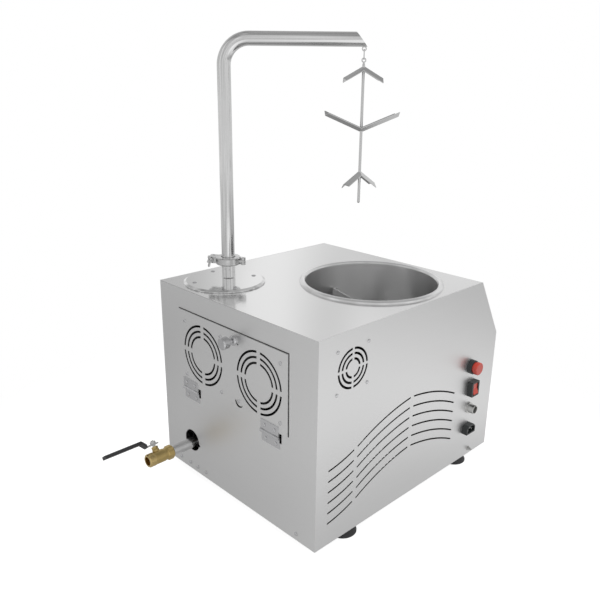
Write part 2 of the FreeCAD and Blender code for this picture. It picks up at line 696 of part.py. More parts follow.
def rod_eye_centre():
    """The top of the rod's eye runs through the middle of the link's lower bend."""
    upper, lower = link_ends()
    return lower - Z * EYE_RADIUS


def hanger_rod():
    """Straight rod under its eye, slightly pointed at the lower end."""
    centre = rod_eye_centre()
    eye = Part.makeTorus(EYE_RADIUS, EYE_WIRE, centre, ARM_DIR.cross(Z))
    neck = centre.z - EYE_RADIUS + 0.5
    rod = turned([(0, ROD_BOTTOM), (ROD_RADIUS - 0.8, ROD_BOTTOM), (ROD_RADIUS, ROD_BOTTOM + 1.5),
                  (ROD_RADIUS, neck - 5), (1.2, neck), (0, neck)], V(centre.x, centre.y, 0))
    return rod.fuse(eye).removeSplitter()


def leaf_arm(apex, reach, rise, fold, turn):
    """One arm of a leaf: an angle-section strip from the rod outwards, its end cut on the slant."""
    length = math.hypot(reach, rise)
    slope = math.atan2(rise, reach)
    wide = LEAF_FLANGE * math.cos(math.radians(38))
    deep = LEAF_FLANGE * math.sin(math.radians(38)) * fold
    thick = LEAF_SHEET * fold
    section = [V(-10, 0, 0), V(-10, wide, -deep), V(-10, wide, -deep - thick), V(-10, 0, -1.3 * thick),
               V(-10, -wide, -deep - thick), V(-10, -wide, -deep)]
    strip = prism(section, X * (length + 16))
    cut_end = prism([V(length - 9, wide + 1, -20), V(length + 30, wide + 1, -20), V(length + 30, -wide - 1, -20),
                     V(length, -wide - 1, -20)], Z * 40)
    strip = strip.cut(cut_end)
    strip.rotate(V(0, 0, 0), Y, -math.degrees(slope))
    strip = strip.common(box(0, reach + 30, -30, 30, -60, 60))
    strip.rotate(V(0, 0, 0), Z, turn)
    centre = rod_eye_centre()
    strip.translate(V(centre.x, centre.y, apex))
    return strip


LEAVES = ((TOP + 383.0, 38.0, -22.0, 1, 0.0), (TOP + 273.0, 68.0, 29.0, -1, 0.0), (TOP + 207.0, 35.0, -26.0, 1, 25.0))


def hanger_leaves():
    """Three pairs of arms, mitred on the rod: two roofs and one open V between them."""
    heading = math.degrees(math.atan2(ARM_DIR.y, ARM_DIR.x))
    centre = rod_eye_centre()
    hole = disc(V(centre.x, centre.y, ROD_BOTTOM - 5), Z, ROD_RADIUS, 300)
    leaves = []
    for apex, reach, rise, fold, turn in LEAVES:
        arms = [leaf_arm(apex, reach, rise, fold, heading + turn + flip) for flip in (0, 180)]
        leaves.append(arms[0].fuse(arms[1]).cut(hole).removeSplitter())
    return Part.makeCompound(leaves)


# ---------------------------------------------------------------- drain and ball valve

def drain_pipe():
    points = [V(DRAIN_IN_FLOOR.x, DRAIN_IN_FLOOR.y, BOWL_FLOOR), V(DRAIN_IN_FLOOR.x, DRAIN_IN_FLOOR.y, DRAIN_Z),
              V(DRAIN_X, 84, DRAIN_Z), V(DRAIN_X, VALVE_START + 11, DRAIN_Z)]
    return pipe(points, 26.0, DRAIN_RADIUS, DRAIN_RADIUS - 1.5)


def valve_axis(y):
    return V(DRAIN_X, y, DRAIN_Z)


def stem_point(height):
    return valve_axis(VALVE_STEM_Y) + STEM_DIR * height


VALVE_JOINT = VALVE_STEM_Y + 9.5
OUTLET_RADIUS = 8.3
OUTLET_DEPTH = 11.0


def valve_body():
    """Brass body: wrench hexagon on the pipe side, round chamber and the stem's boss."""
    start = VALVE_START
    shell = turned([(0, 0), (11.0, 0), (12.4, 1.6), (12.4, 12.0), (11.2, 14.0), (11.2, 17.0), (12.0, 20.0),
                    (12.0, VALVE_JOINT - start), (0, VALVE_JOINT - start)], valve_axis(start), Y)
    collar = hexagon(valve_axis(start + 1.6), Y, 23.6, 10.4)
    boss = turned([(0, 0), (6.6, 0), (6.6, 14.0), (5.6, 16.0), (0, 16.0)], valve_axis(VALVE_STEM_Y), STEM_DIR)
    gland = hexagon(stem_point(15.5), STEM_DIR, 10.5, 5.0)
    pocket = disc(valve_axis(start - 1), Y, DRAIN_RADIUS + RUN_CLEARANCE, 12.0)
    flow = disc(valve_axis(start), Y, 5.5, 60)
    chamber = disc(valve_axis(VALVE_STEM_Y - 8.8), Y, BALL_RADIUS + CLEARANCE, 30)
    stem_way = disc(stem_point(0), STEM_DIR, STEM_RADIUS + RUN_CLEARANCE, 40)
    body = shell.fuse(collar).fuse(boss).fuse(gland)
    return body.cut([pocket, flow, chamber, stem_way]).removeSplitter()


def valve_end():
    """Screwed-in end of the valve with its hexagon and the threaded outlet."""
    length = VALVE_END - VALVE_JOINT
    shell = turned([(0, 0), (12.2, 0), (12.6, 1.0), (12.6, length - 1.8), (11.2, length), (0, length)],
                   valve_axis(VALVE_JOINT), Y)
    flow = disc(valve_axis(VALVE_JOINT - 1), Y, 5.5, 40)
    outlet = disc(valve_axis(VALVE_END - OUTLET_DEPTH), Y, OUTLET_RADIUS, 20)
    return shell.cut([flow, outlet])


BALL_BORE = 5.4


def valve_ball():
    """Bored ball turned about the flow, with the slot for the stem's tongue."""
    half = math.sqrt(BALL_RADIUS ** 2 - BALL_BORE ** 2)
    lower, middle, upper = V(BALL_BORE, 0, -half), V(BALL_RADIUS, 0, 0), V(BALL_BORE, 0, half)
    outline = Part.Wire([Part.Arc(lower, middle, upper).toShape(), Part.makeLine(upper, lower)])
    ball = spun(outline, valve_axis(VALVE_STEM_Y), Y)
    slot_base = stem_point(BALL_RADIUS - 2.2)
    across = STEM_DIR.cross(Y)
    points = [slot_base + across * (sa * 1.2) + Y * (sy * 9) for sa, sy in ((-1, -1), (1, -1), (1, 1), (-1, 1))]
    return ball.cut(prism(points, STEM_DIR * 5))


def valve_stem():
    """Stem with the tongue that turns the ball, and the nut that holds the lever."""
    across = STEM_DIR.cross(Y)
    base = stem_point(BALL_RADIUS - 2.1)
    points = [base + across * (sa * 1.1) + Y * (sy * 2.4) for sa, sy in ((-1, -1), (1, -1), (1, 1), (-1, 1))]
    tongue = prism(points, STEM_DIR * 4)
    shaft = disc(stem_point(BALL_RADIUS + CLEARANCE), STEM_DIR, STEM_RADIUS, LEVER_HEIGHT + 9 - BALL_RADIUS - CLEARANCE)
    nut = hexagon(stem_point(LEVER_HEIGHT + LEVER_SHEET), STEM_DIR, 9.6, 4.6)
    return shaft.fuse(tongue).fuse(nut).removeSplitter()


LEVER_FLAT = 15.0
LEVER_RISE = 9.0
LEVER_LENGTH = 94.0


def lever_line(start):
    """Bent line of the lever: flat on the stem, a step outwards, then parallel to the pipe."""
    flat = V(0, LEVER_FLAT, 0)
    step = V(0, LEVER_FLAT + LEVER_RISE, 0) + STEM_DIR * LEVER_STEP
    end = V(0, LEVER_LENGTH, 0) + STEM_DIR * LEVER_STEP
    base = stem_point(LEVER_HEIGHT)
    return [base + point for point in (V(0, start, 0), flat, step, end)]


def lever_strip(line, width, under, over):
    """Strip of one width that follows the line, with the given depth below and above it."""
    across = STEM_DIR.cross(Y) * (width / 2)
    low = [point - STEM_DIR * under - across for point in line]
    high = [point + STEM_DIR * over - across for point in line]
    return prism(low + high[::-1], across * 2)


def valve_lever():
    line = lever_line(-8.0)
    strip = lever_strip(line, LEVER_WIDTH, 0, LEVER_SHEET)
    return strip.cut(disc(stem_point(0), STEM_DIR, STEM_RADIUS, 60))


def lever_grip():
    """Vinyl sleeve dipped over the outer part of the lever."""
    line = lever_line(0)
    sleeve = [line[1] + (line[2] - line[1]) * 0.1, line[2], line[3] + Y * 2.5]
    outer = lever_strip(sleeve, LEVER_WIDTH + 4.5, 2.0, LEVER_SHEET + 2.0)
    edges = [edge for edge in outer.Edges if edge.Length > 30]
    outer = outer.makeFillet(2.4, edges)
    return outer.cut(lever_strip(lever_line(-8.0), LEVER_WIDTH, 0, LEVER_SHEET))


# ---------------------------------------------------------------- fan door

def door_fan_points(x):
    return corner_points(V(x, DOOR_FACE, DOOR_FAN_Z), Y, Z, DOOR_FAN_PITCH)


def hinge_screw_points(z):
    """Two screws in each hinge leaf at the given height."""
    half = HINGE_SCREW_PITCH / 2
    middles = [x0 + HINGE_WIDTH / 2 for x0 in HINGE_X]
    return [V(middle + s * half, BACK, z) for middle in middles for s in (-1, 1)]


DOOR_SCREW_Z = HINGE_Z + 12.0


def crescent_slot():
    """Finger slot under the screw of one fan: a quarter ring that thins out at both ends."""
    centre = V(-24.5, BACK, 222.5)
    outer = disc(centre + V(0, -12, 0), Y, 10.5, 30)
    inner = disc(centre + V(-2.2, -12, 3.4), Y, 10.5, 30)
    return outer.cut(inner).common(box(-60, 30, BACK - 12, BACK + 12, 200, 224))


def fan_door():
    """Tray-shaped door with two grilles; its tabs reach down to the hinges."""
    x0, x1 = DOOR_X
    z0, z1 = DOOR_Z
    back = BACK + DOOR_GAP
    tray = box(x0, x1, back, DOOR_FACE, z0, z1)
    tray = tray.cut(box(x0 + DOOR_LIP, x1 - DOOR_LIP, back - 1, DOOR_FACE - SHEET, z0 + DOOR_LIP, z1 - DOOR_LIP))
    tabs = [box(x, x + HINGE_WIDTH, DOOR_FACE - SHEET, DOOR_FACE, HINGE_Z + 3.6, z0 + 2) for x in HINGE_X]
    gaps = [box(x - 1, x + HINGE_WIDTH + 1, back - 1, DOOR_FACE - SHEET, z0 - 1, z0 + 4) for x in HINGE_X]
    cuts = list(gaps)
    for x in DOOR_FAN_X:
        cuts.append(ring_slots(V(x, DOOR_FACE, DOOR_FAN_Z), Y, Z, (54.5, 44.5, 34.5), 4.0, 8.5))
        cuts += [screw_hole(point, Y) for point in door_fan_points(x)]
    cuts += [screw_hole(point, Y) for point in hinge_screw_points(DOOR_SCREW_Z)]
    cuts.append(disc(V(LATCH_X, BACK - 12, LATCH_Z), Y, 4.1, 24))
    cuts.append(crescent_slot())
    return tray.fuse(tabs).cut(cuts).removeSplitter()


def knuckle(x0, x1, leaf):
    """Part of the hinge barrel with the leaf that grows from it."""
    barrel = disc(V(x0, HINGE_Y, HINGE_Z), X, HINGE_RADIUS, x1 - x0)
    return barrel.fuse(leaf)


def hinge_leaves_door():
    """Upper leaves, screwed to the door's tabs; the middle third of the barrel is theirs."""
    leaves = []
    for x0 in HINGE_X:
        a = x0 + HINGE_WIDTH / 4 + 0.15
        b = x0 + HINGE_WIDTH * 3 / 4 - 0.15
        neck = box(a, b, DOOR_FACE, DOOR_FACE + 1.2, HINGE_Z, HINGE_Z + 4)
        plate = box(x0, x0 + HINGE_WIDTH, DOOR_FACE, DOOR_FACE + 1.2, HINGE_Z + 3.6, HINGE_Z + 21)
        leaf = knuckle(a, b, neck).fuse(plate)
        bore = disc(V(x0 - 1, HINGE_Y, HINGE_Z), X, HINGE_PIN_RADIUS + RUN_CLEARANCE, HINGE_WIDTH + 2)
        leaves.append(leaf.cut(bore))
    holes = [screw_hole(point, Y) for point in hinge_screw_points(DOOR_SCREW_Z)]
    return Part.makeCompound([leaf.cut(holes).removeSplitter() for leaf in leaves])


def hinge_leaves_body():
    """Lower leaves, screwed to the rear panel; the two ends of the barrel are theirs."""
    leaves = []
    for x0 in HINGE_X:
        plate = box(x0, x0 + HINGE_WIDTH, BACK, BACK + 1.2, HINGE_Z - 21, HINGE_Z - 3.6)
        leaf = plate
        for a, b in ((x0, x0 + HINGE_WIDTH / 4), (x0 + HINGE_WIDTH * 3 / 4, x0 + HINGE_WIDTH)):
            leaf = leaf.fuse(knuckle(a, b, box(a, b, BACK, BACK + 1.2, HINGE_Z - 4, HINGE_Z)))
        bore = disc(V(x0 - 1, HINGE_Y, HINGE_Z), X, HINGE_PIN_RADIUS, HINGE_WIDTH + 2)
        leaves.append(leaf.cut(bore))
    holes = [screw_hole(point, Y) for point in hinge_screw_points(HINGE_Z - 14)]
    return Part.makeCompound([leaf.cut(holes).removeSplitter() for leaf in leaves])


def hinge_pins():
    return Part.makeCompound([disc(V(x0 - 0.6, HINGE_Y, HINGE_Z), X, HINGE_PIN_RADIUS, HINGE_WIDTH + 1.2)
                              for x0 in HINGE_X])


def latch_collar():
    """Threaded ferrule pressed into the door that keeps the thumbscrew captive."""
    return turned([(2.8, -1.5), (4.0, -1.5), (4.0, 0), (9.0, 0), (9.0, 2.5), (7.5, 4.5), (2.8, 4.5)],
                  V(LATCH_X, DOOR_FACE, LATCH_Z), Y)


def latch_knob():
    """Captive thumbscrew: round head on a neck, with a shank that reaches the strike."""
    head = BACK + 17.0
    profile = [(0, BACK - 10 - head), (1.6, BACK - 10 - head), (2.3, BACK - 8.5 - head), (2.3, DOOR_FACE + 5 - head),
               (4.0, DOOR_FACE + 5 - head), (4.0, 0), (9.6, 0), (10.6, 1.2), (10.6, 11.0), (8.8, 13.0), (0, 13.0)]
    return turned(profile, V(LATCH_X, head, LATCH_Z), Y)


def latch_strike():
    """Small bracket behind the top of the opening that the thumbscrew bolts into."""
    x0 = LATCH_X - 1.5
    x1 = LATCH_X + 28
    foot = box(x0, x1, BACK - 2 * SHEET, BACK - SHEET, DOOR_Z[1] - 4, DOOR_Z[1] + 12)
    web = box(x0, x1, BACK - 7.5, BACK - 2 * SHEET, DOOR_Z[1] - 4, DOOR_Z[1] - 2.5)
    tongue = box(x0, x1, BACK - 7.5, BACK - 6, LATCH_Z - 9, DOOR_Z[1] - 2.5)
    hole = disc(V(LATCH_X, BACK - 20, LATCH_Z), Y, 4.6, 24)
    return fuse([foot, web, tongue]).cut(hole)


# ---------------------------------------------------------------- fans

def fan_frame(size, pitch, hub):
    """Square frame with a round throat; four struts hold the hub's cup. Air axis is Z, outlet at z = 0."""
    half = size / 2
    frame = box(-half, half, -half, half, -FAN_DEPTH, 0)
    frame = frame.makeFillet(5, [edge for edge in frame.Edges if abs(edge.CenterOfMass.z + FAN_DEPTH / 2) < 0.1])
    throat = half - 2.5
    frame = frame.cut(disc(V(0, 0, -FAN_DEPTH - 1), Z, throat, FAN_DEPTH + 2))
    waist = ring(V(0, 0, -FAN_DEPTH + 4), Z, half * 1.5, throat + 1.8, FAN_DEPTH - 8)
    frame = frame.cut(waist)
    cup = disc(V(0, 0, -FAN_DEPTH), Z, hub, 3)
    struts = [box(-2, 2, hub - 2, throat + 1, -FAN_DEPTH, -FAN_DEPTH + 3) for i in range(4)]
    for i, strut in enumerate(struts):
        strut.rotate(V(0, 0, 0), Z, 90 * i + 45)
    holes = [disc(V(sx * pitch / 2, sy * pitch / 2, -FAN_DEPTH - 1), Z, 2.2, FAN_DEPTH + 2)
             for sx in (-1, 1) for sy in (-1, 1)]
    holes.append(disc(V(0, 0, -FAN_DEPTH - 1), Z, 1.5 + RUN_CLEARANCE, 8))
    return frame.fuse([cup] + struts).cut(holes).removeSplitter()


def fan_rotor(size, hub, blades=7):
    """Hub and swept blades of an axial fan, on the frame's axis."""
    tip = size / 2 - 3.6
    body = turned([(0, -19), (hub, -19), (hub, -3.5), (hub - 2, -1.8), (0, -1.8)])
    pin = disc(V(0, 0, -FAN_DEPTH), Z, 1.5, 8)
    whole = body.fuse(pin)
    chord = 0.82 * size / 4.2
    for i in range(blades):
        sections = []
        for radius, pitch, sweep in ((hub - 1.5, 46, 0), (tip, 28, 16)):
            lean = math.radians(pitch)
            run = V(0, math.cos(lean), math.sin(lean)) * (chord / 2 if radius < hub else chord * 0.62)
            lift = V(0, -math.sin(lean), math.cos(lean)) * 0.7
            centre = V(radius, 0, -11)
            points = [centre - run - lift, centre + run - lift, centre + run + lift, centre - run + lift]
            wire = Part.makePolygon(points + points[:1])
            wire.rotate(V(0, 0, 0), Z, sweep)
            sections.append(wire)
        blade = Part.makeLoft(sections, True, True)
        blade = blade.common(disc(V(0, 0, -19), Z, tip, 17.2))
        blade.rotate(V(0, 0, 0), Z, 360.0 * i / blades)
        whole = whole.fuse(blade)
    return whole.removeSplitter()


def place_fan(shape, face, outward):
    """Turn a fan so that its outlet is against a sheet and its air axis points outward."""
    shape.Placement = FreeCAD.Placement(face, FreeCAD.Rotation(Z, outward))
    return shape


def door_fan_face(x):
    return V(x, DOOR_FACE - SHEET, DOOR_FAN_Z)


def side_fan_face():
    return V(-SIDE + SHEET, SIDE_FAN_Y, SIDE_FAN_Z)


# ---------------------------------------------------------------- screws

def housing_screws():
    """All pan-head screws of the fixed housing, its feet, the pump cover and the side fan."""
    screws = [screw(V(x, BACK, BACK_SCREWS_Z), Y) for x in BACK_SCREWS_X]
    screws += [screw(point + Y * 1.2, Y) for point in hinge_screw_points(HINGE_Z - 14)]
    screws += [screw(point + Z * COVER_THICK, Z, 4.2, 1.6, 1.5, 10) for point in cover_screw_points()]
    fan = V(-SIDE, SIDE_FAN_Y, SIDE_FAN_Z)
    screws += [screw(point, -X, 3.2, 1.5) for point in corner_points(fan, X, Z, SIDE_FAN_PITCH)]
    screws += [screw(V(x, y, 9.0), -Z, 7.0, 3.0, 2.1, 14) for x, y in FEET]
    return Part.makeCompound(screws)


def door_screws():
    """Screws of the fans and of the upper hinge leaves, all on the door."""
    screws = [screw(point, Y, 3.6, 1.4, 1.5, 7) for x in DOOR_FAN_X for point in door_fan_points(x)
              if (point - V(LATCH_X, DOOR_FACE, LATCH_Z)).Length > 14]
    screws += [screw(point + Y * 4.2, Y) for point in hinge_screw_points(DOOR_SCREW_Z)]
    return Part.makeCompound(screws)


# ---------------------------------------------------------------- controls

def button_bezel():
    """Black ring of the push button, its threaded barrel and the contact block behind the sheet."""
    front = turned([(11.4, 0), (14.0, 0), (14.0, 8.5), (13.2, 9.5), (11.4, 9.5)], BUTTON, -X)
    barrel = ring(BUTTON - X * 2, X, 10.9, 8.9, 18)
    nut = ring(BUTTON + X * SHEET, X, 13.5, 10.9, 4)
    block = box(BUTTON.x + 16, BUTTON.x + 44, BUTTON.y - 13, BUTTON.y + 13, BUTTON.z - 13, BUTTON.z + 13)
    bridge = ring(BUTTON - X * 1, X, 11.6, 8.9, 1)
    return fuse([front, barrel, nut, block, bridge])


def button_cap():
    """Red cap on a stem that travels through the barrel."""
    return turned([(0, -12), (8.5, -12), (8.5, 5.5), (11.0, 5.5), (11.0, 12.8), (12.8, 13.2), (12.8, 18.6),
                   (11.6, 20.0), (0, 20.0)], BUTTON, -X)


ROCKER_TILT = 9.0
ROCKER_AXIS_OUT = 5.0


def rocker_housing():
    """Black surround, open in front, with the switch body behind the sheet."""
    y0, y1 = ROCKER.y - 12.5, ROCKER.y + 12.5
    z0, z1 = ROCKER.z - 15.5, ROCKER.z + 15.5
    surround = box(ROCKER.x - 11.5, ROCKER.x, y0, y1, z0, z1)
    edges = [edge for edge in surround.Edges if abs(edge.CenterOfMass.x - ROCKER.x + 5.75) < 0.1]
    surround = surround.makeFillet(2.0, edges)
    body = box(ROCKER.x, ROCKER.x + 22, y0 + 2.3, y1 - 2.3, z0 + 2.3, z1 - 2.3)
    hollow = box(ROCKER.x - 12, ROCKER.x + 12, y0 + 4, y1 - 4, z0 + 3, z1 - 3)
    axis = disc(V(ROCKER.x - ROCKER_AXIS_OUT, y0 - 1, ROCKER.z), Y, 1.5, 27)
    seat = axis.common(box(ROCKER.x - 11, ROCKER.x, y0 + 1.5, y1 - 1.5, z0, z1))
    return surround.fuse(body).cut(hollow).cut(seat).removeSplitter()


def rocker():
    """Red rocker, pressed at its lower end, on two small trunnions."""
    half = 7.9
    out = ROCKER.x - ROCKER_AXIS_OUT
    profile = [V(out + 5, 0, -7), V(out + 5, 0, 7), V(out - 1, 0, 11.0), V(out - 6.5, 0, 11.3), V(out - 4.6, 0, 0),
               V(out - 6.5, 0, -11.3), V(out - 1, 0, -11.0)]
    block = prism([point + V(0, ROCKER.y - half, ROCKER.z) for point in profile], Y * 2 * half)
    trunnion = disc(V(out, ROCKER.y - 10.5, ROCKER.z), Y, 1.5 - RUN_CLEARANCE, 21)
    whole = block.fuse(trunnion).removeSplitter()
    whole.rotate(V(out, ROCKER.y, ROCKER.z), Y, ROCKER_TILT)
    return whole


def probe_socket():
    """Round metal panel socket: flange nut, barrel with a key slot, and its contact insert."""
    shell = turned([(7.6, -9), (7.6, 0), (11.5, 0), (11.5, 3.2), (9.0, 3.6), (9.0, 15.0), (7.2, 15.0), (7.2, 5.0),
                    (0, 5.0), (0, -9)], SOCKET, -X)
    flats = hexagon(SOCKET - X * 0.2, -X, 20.6, 3.0)
    slot = box(SOCKET.x - 16, SOCKET.x - 9, SOCKET.y - 1, SOCKET.y + 1, SOCKET.z + 6, SOCKET.z + 12)
    pins = [disc(SOCKET + V(-5, 3.6 * math.cos(a), 3.6 * math.sin(a)), -X, 0.8, 6)
            for a in (math.radians(45 + 90 * i) for i in range(4))]
    return fuse([shell, flats] + pins).cut(slot)


def power_inlet():
    """Appliance inlet: shroud with two chamfered corners, socket cavity and the body behind the sheet."""
    y0, y1 = INLET.y - 14.5, INLET.y + 14.5
    z0, z1 = INLET.z - 9.3, INLET.z + 9.3
    outline = [V(INLET.x, y0, z0), V(INLET.x, y1, z0), V(INLET.x, y1, z1 - 6), V(INLET.x, y1 - 6, z1),
               V(INLET.x, y0 + 6, z1), V(INLET.x, y0, z1 - 6)]
    shroud = prism(outline, -X * 12)
    body = box(INLET.x, INLET.x + 20, y0 + 2.2, y1 - 2.2, z0 + 2.2, z1 - 2.2)
    margin = 2.6
    mouth = [V(INLET.x + 6, y0 + margin, z0 + margin), V(INLET.x + 6, y1 - margin, z0 + margin),
             V(INLET.x + 6, y1 - margin, z1 - 7), V(INLET.x + 6, y1 - 7, z1 - margin), V(INLET.x + 6, y0 + 7, z1 - margin),
             V(INLET.x + 6, y0 + margin, z1 - 7)]
    return shroud.fuse(body).cut(prism(mouth, -X * 22)).removeSplitter()


def inlet_pins():
    """Three flat contacts of the inlet."""
    spots = ((-7.0, -1.8), (7.0, -1.8), (0, 2.4))
    return Part.makeCompound([box(INLET.x - 9, INLET.x + 6, INLET.y + y - 1, INLET.y + y + 1, INLET.z + z - 2, INLET.z + z + 2)
                              for y, z in spots])


def earth_terminal():
    """Earth screw with its washer and nut."""
    stud = turned([(0, -8), (2.0, -8), (2.0, 0), (5.0, 0), (5.0, 1.0), (2.0, 1.0), (2.0, 8.5), (0, 8.5)], EARTH, -X)
    return stud.fuse(hexagon(EARTH - X * 1.0, -X, 7.0, 3.2)).removeSplitter()


def slope_frame():
    """Origin in the middle of the slope, its outward normal and its uphill direction."""
    middle = V(0, SLOPE_RUN / 2 - BACK, TOP - SLOPE_DROP / 2)
    uphill = V(0, SLOPE_RUN, SLOPE_DROP).normalize()
    outward = uphill.cross(X) * -1
    return middle, outward, uphill


def controller_block(half_width, half_height, inner, outer):
    """Block square to the slope, between two distances from its face."""
    middle, outward, uphill = slope_frame()
    base = middle + outward * inner
    points = [base + X * (sx * half_width) + uphill * (su * half_height)
              for sx, su in ((-1, -1), (1, -1), (1, 1), (-1, 1))]
    return prism(points, outward * (outer - inner))


def controller():
    """Temperature controller: bezel on the slope, recessed display and case behind the sheet."""
    bezel = controller_block(41.0, 20.0, 0, 4)
    case = controller_block(35.7, 15.7, -48, 0)
    recess = controller_block(20.0, 10.0, 2.8, 6)
    recess.translate(-X * 14)
    return fuse([bezel, case]).cut(recess)


def control_unit():
    """Circuit board on spacers with its power supply and relays, inside the front."""
    z0 = BOTTOM + SHEET
    board = box(60, 190, -235, -125, z0 + 10, z0 + 11.6)
    spacers = [disc(V(x, y, z0), Z, 3.0, 10) for x in (66, 184) for y in (-229, -131)]
    supply = box(70, 130, -225, -175, z0 + 11.6, z0 + 42)
    relays = [box(140 + 22 * i, 156 + 22 * i, -220, -192, z0 + 11.6, z0 + 28) for i in range(2)]
    sink = [box(74 + 8 * i, 77 + 8 * i, -165, -135, z0 + 11.6, z0 + 40) for i in range(6)]
    return fuse([board] + spacers + [supply] + relays + sink)


PIECES = {
    "side_panel_left": side_panel_left(),
    "side_panel_right": side_panel(1),
    "top_panel": top_panel(),
    "rear_panel": rear_panel(),
    "front_panel": front_panel(),
    "base_plate": base_plate(),
    "rubber_feet": rubber_feet(),
    "housing_screws": housing_screws(),
    "bowl": bowl(),
    "bowl_heater": bowl_heater(),
    "stirrer": stirrer(),
    "stirrer_shaft": stirrer_shaft(),
    "stirrer_bearing": stirrer_bearing(),
    "stirrer_motor": stirrer_motor(),
    "motor_stands": motor_stands(),
    "pump_cover": pump_cover(),
    "pump_barrel": pump_barrel(),
    "pump_screw": pump_screw(),
    "pump_motor": pump_motor(),
    "suction_pipe": suction_pipe(),
    "clamp_gasket": clamp_gasket(),
    "clamp_half_plain": clamp_half_plain(),
    "clamp_half_slotted": clamp_half_slotted(),
    "clamp_pins": clamp_pins(),
    "swing_bolt": swing_bolt(),
    "wing_nut": wing_nut(),
    "spout_tube": spout_tube(),
    "hanger_link": hanger_link(),
    "hanger_rod": hanger_rod(),
    "hanger_leaves": hanger_leaves(),
    "drain_pipe": drain_pipe(),
    "valve_body": valve_body(),
    "valve_end": valve_end(),
    "valve_ball": valve_ball(),
    "valve_stem": valve_stem(),
    "valve_lever": valve_lever(),
    "lever_grip": lever_grip(),
    "fan_door": fan_door(),
    "hinge_leaves_door": hinge_leaves_door(),
    "hinge_leaves_body": hinge_leaves_body(),
    "hinge_pins": hinge_pins(),
    "door_screws": door_screws(),
    "latch_collar": latch_collar(),
    "latch_knob": latch_knob(),
    "latch_strike": latch_strike(),
    "door_fan_frames": Part.makeCompound([place_fan(fan_frame(DOOR_FAN, DOOR_FAN_PITCH, 20.0), door_fan_face(x), Y)
                                          for x in DOOR_FAN_X]),
    "fan_rotor_left": place_fan(fan_rotor(DOOR_FAN, 20.0), door_fan_face(DOOR_FAN_X[0]), Y),
    "fan_rotor_right": place_fan(fan_rotor(DOOR_FAN, 20.0), door_fan_face(DOOR_FAN_X[1]), Y),
    "side_fan_frame": place_fan(fan_frame(SIDE_FAN, SIDE_FAN_PITCH, 15.0), side_fan_face(), -X),
    "side_fan_rotor": place_fan(fan_rotor(SIDE_FAN, 15.0), side_fan_face(), -X),
    "button_bezel": button_bezel(),
    "button_cap": button_cap(),
    "rocker_housing": rocker_housing(),
    "rocker": rocker(),
    "probe_socket": probe_socket(),
    "power_inlet": power_inlet(),
    "inlet_pins": inlet_pins(),
    "earth_terminal": earth_terminal(),
    "controller": controller(),
    "control_unit": control_unit(),
}

os.makedirs("parts", exist_ok=True)
for name, shape in PIECES.items():
    shape.translate(-ORIGIN)
    shape.exportStep("parts/" + name + ".step")
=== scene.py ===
import math

import bmesh
import bpy
from mathutils import Matrix, Vector


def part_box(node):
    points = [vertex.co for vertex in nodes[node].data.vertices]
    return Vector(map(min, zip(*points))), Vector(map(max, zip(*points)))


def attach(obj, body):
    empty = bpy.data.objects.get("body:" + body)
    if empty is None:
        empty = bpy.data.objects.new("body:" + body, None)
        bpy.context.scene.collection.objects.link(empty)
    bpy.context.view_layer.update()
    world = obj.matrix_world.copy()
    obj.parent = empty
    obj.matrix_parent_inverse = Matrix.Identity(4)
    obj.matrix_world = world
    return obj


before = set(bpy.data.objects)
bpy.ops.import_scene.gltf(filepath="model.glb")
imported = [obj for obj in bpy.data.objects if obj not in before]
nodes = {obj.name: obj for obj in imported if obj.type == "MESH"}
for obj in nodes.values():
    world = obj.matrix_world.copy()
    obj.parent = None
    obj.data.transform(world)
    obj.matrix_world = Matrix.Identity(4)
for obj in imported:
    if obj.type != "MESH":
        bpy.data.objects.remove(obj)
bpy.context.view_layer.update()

# ---------------------------------------------------------------- camera
# The machine stands on a bench and is looked at from a little above, on the corner between the back
# with its fan door and the side with its switches, as a buyer would walk round it.
view_azimuth = math.radians(225.81)
view_elevation = math.radians(18.55)
view_roll = math.radians(0.68)
near_low, near_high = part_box("side_panel_left")
near_corner = Vector((near_low[0], near_high[1], near_low[2]))
view_place = near_corner + Vector((-0.6279, 0.6491, 0.7359))

back = Vector((math.sin(view_azimuth) * math.cos(view_elevation),
               -math.cos(view_azimuth) * math.cos(view_elevation),
               math.sin(view_elevation)))
level = Vector((0, 0, 1)).cross(back).normalized()
upright = back.cross(level)
right = level * math.cos(view_roll) + upright * math.sin(view_roll)
up = upright * math.cos(view_roll) - level * math.sin(view_roll)

camera_data = bpy.data.cameras.new("camera")
camera_data.sensor_width = 36.0
camera_data.lens = 40.2
camera_data.shift_x = -0.0008
camera_data.shift_y = 0.0008
camera_data.clip_start = 0.01
camera = bpy.data.objects.new("camera", camera_data)
camera.matrix_world = Matrix((right, up, back)).transposed().to_4x4()
camera.location = view_place
bpy.context.scene.collection.objects.link(camera)
bpy.context.scene.camera = camera
bpy.context.scene.view_settings.view_transform = "Standard"

# ---------------------------------------------------------------- bench, room and lamps
# A white seamless bench top that runs out of sight, so that only a soft shadow shows close to the feet.
# Polished steel sees it as a pool of light round the onlooker that fades away, under a darker ceiling.
bench_size = 60.0
pool_centre = (-0.9, 0.45, 0.0)
housing_centre = (0.01, -0.087, 0.0)


def new_object(name, mesh):
    thing = bpy.data.objects.new(name, mesh)
    bpy.context.scene.collection.objects.link(thing)
    return thing


def flat_mesh(name, corners):
    mesh = bpy.data.meshes.new(name)
    mesh.from_pydata(corners, [], [range(len(corners))])
    return mesh


half = bench_size / 2
bench_corners = [(-half, -half, 0), (half, -half, 0), (half, half, 0), (-half, half, 0)]
bench = new_object("bench", flat_mesh("bench", bench_corners))

bench_paint = bpy.data.materials.new("bench_paint")
bench_paint.use_nodes = True
bench_tree = bench_paint.node_tree
bench_tree.nodes.clear()
bench_place = bench_tree.nodes.new("ShaderNodeTexCoord")


